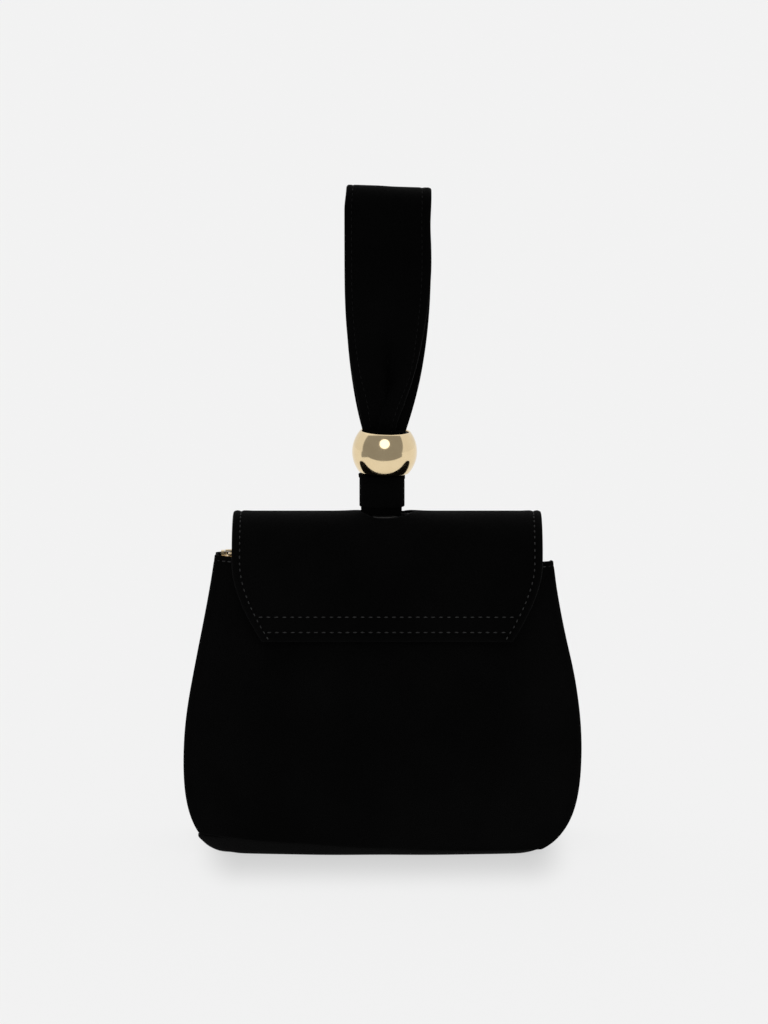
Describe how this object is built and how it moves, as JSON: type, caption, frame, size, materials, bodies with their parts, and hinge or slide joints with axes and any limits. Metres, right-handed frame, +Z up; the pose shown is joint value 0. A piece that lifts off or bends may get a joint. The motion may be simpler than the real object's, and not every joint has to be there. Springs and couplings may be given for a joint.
{
  "type": "evening bag",
  "caption": "Velvet evening bag: a zipped pouch under a magnetic flap, carried by a wrist loop that a sliding metal bead gathers.",
  "frame": {"origin": "middle of the bag's footprint, on the surface it stands on", "axes": "+Z up, front of the bag towards -Y, +X to the right seen from the front"},
  "size_m": [0.2, 0.0694, 0.3346],
  "materials": {
    "velvet": "short black velvet pile with a soft edge sheen",
    "lining": "black satin twill",
    "board": "grey pressed stiffener board, matte",
    "zip_tape": "woven black tape",
    "pale_gold": "polished pale gold plating",
    "magnet": "nickel-plated magnet disc",
    "edge_paint": "glossy black edge paint",
    "bead_liner": "matte black moulded liner"
  },
  "bodies": {
    "root": {"front_panel": "velvet", "back_panel": "velvet", "left_gusset": "velvet", "right_gusset": "velvet", "base_panel": "velvet", "base_board": "board", "base_lining": "lining", "front_lining": "lining", "back_lining": "lining", "left_gusset_lining": "lining", "right_gusset_lining": "lining", "slip_pocket": "lining", "front_facing": "velvet", "back_facing": "velvet", "front_zip_facing": "lining", "back_zip_facing": "lining", "zip_bottom_stop": "pale_gold", "pouch_magnet": "magnet", "flap_tail": "velvet"},
    "front_tape": {"front_zip_tape": "zip_tape", "front_zip_teeth": "pale_gold", "front_zip_top_stop": "pale_gold"},
    "back_tape": {"back_zip_tape": "zip_tape", "back_zip_teeth": "pale_gold", "back_zip_top_stop": "pale_gold"},
    "slider": {"zip_slider": "pale_gold"},
    "pull": {"zip_pull": "pale_gold"},
    "flap": {"flap_outer": "velvet", "flap_core": "board", "flap_magnet": "magnet", "flap_lining": "velvet", "slot_trim": "edge_paint", "strap_foot": "velvet", "anchor_patch": "lining"},
    "strap": {"strap_stem": "velvet", "strap_keeper": "velvet", "strap_front_gather": "velvet", "strap_back_gather": "velvet", "strap_outer_ply": "velvet", "strap_inner_ply": "velvet"},
    "bead": {"bead_shell": "pale_gold", "bead_liner": "bead_liner"}
  },
  "joints": [
    {"name": "flap_hinge", "type": "hinge", "parent": "root", "child": "flap", "pos_m": [0, 0.0224, 0.1485], "axis": [-1, 0, 0], "range_deg": [0, 110]},
    {"name": "strap_swing", "type": "hinge", "parent": "flap", "child": "strap", "pos_m": [0, 0, 0.1715], "axis": [1, 0, 0], "range_deg": [-45, 45], "deforming": ["strap_stem"]},
    {"name": "bead_slide", "type": "slide", "parent": "strap", "child": "bead", "axis": [0, 0, 1], "range_m": [0, 0.035], "deforming": ["strap_front_gather", "strap_back_gather"]},
    {"name": "zip_slide", "type": "slide", "parent": "root", "child": "slider", "axis": [1, 0, 0], "range_m": [0, 0.133], "deforming": ["front_zip_tape", "back_zip_tape", "front_zip_teeth", "back_zip_teeth"]},
    {"name": "pull_flip", "type": "hinge", "parent": "slider", "child": "pull", "pos_m": [-0.078, 0, 0.149], "axis": [0, -1, 0], "range_deg": [0, 120]},
    {"name": "front_tape_fold", "type": "hinge", "parent": "root", "child": "front_tape", "pos_m": [0, -0.0081, 0.1459], "axis": [-1, 0, 0], "range_deg": [0, 60]},
    {"name": "back_tape_fold", "type": "hinge", "parent": "root", "child": "back_tape", "pos_m": [0, 0.0081, 0.1459], "axis": [1, 0, 0], "range_deg": [0, 60]}
  ],
  "couplings": [
    {"joint": "front_tape_fold", "follows": "zip_slide", "rad_per_m": 7.8},
    {"joint": "back_tape_fold", "follows": "zip_slide", "rad_per_m": 7.8}
  ]
}
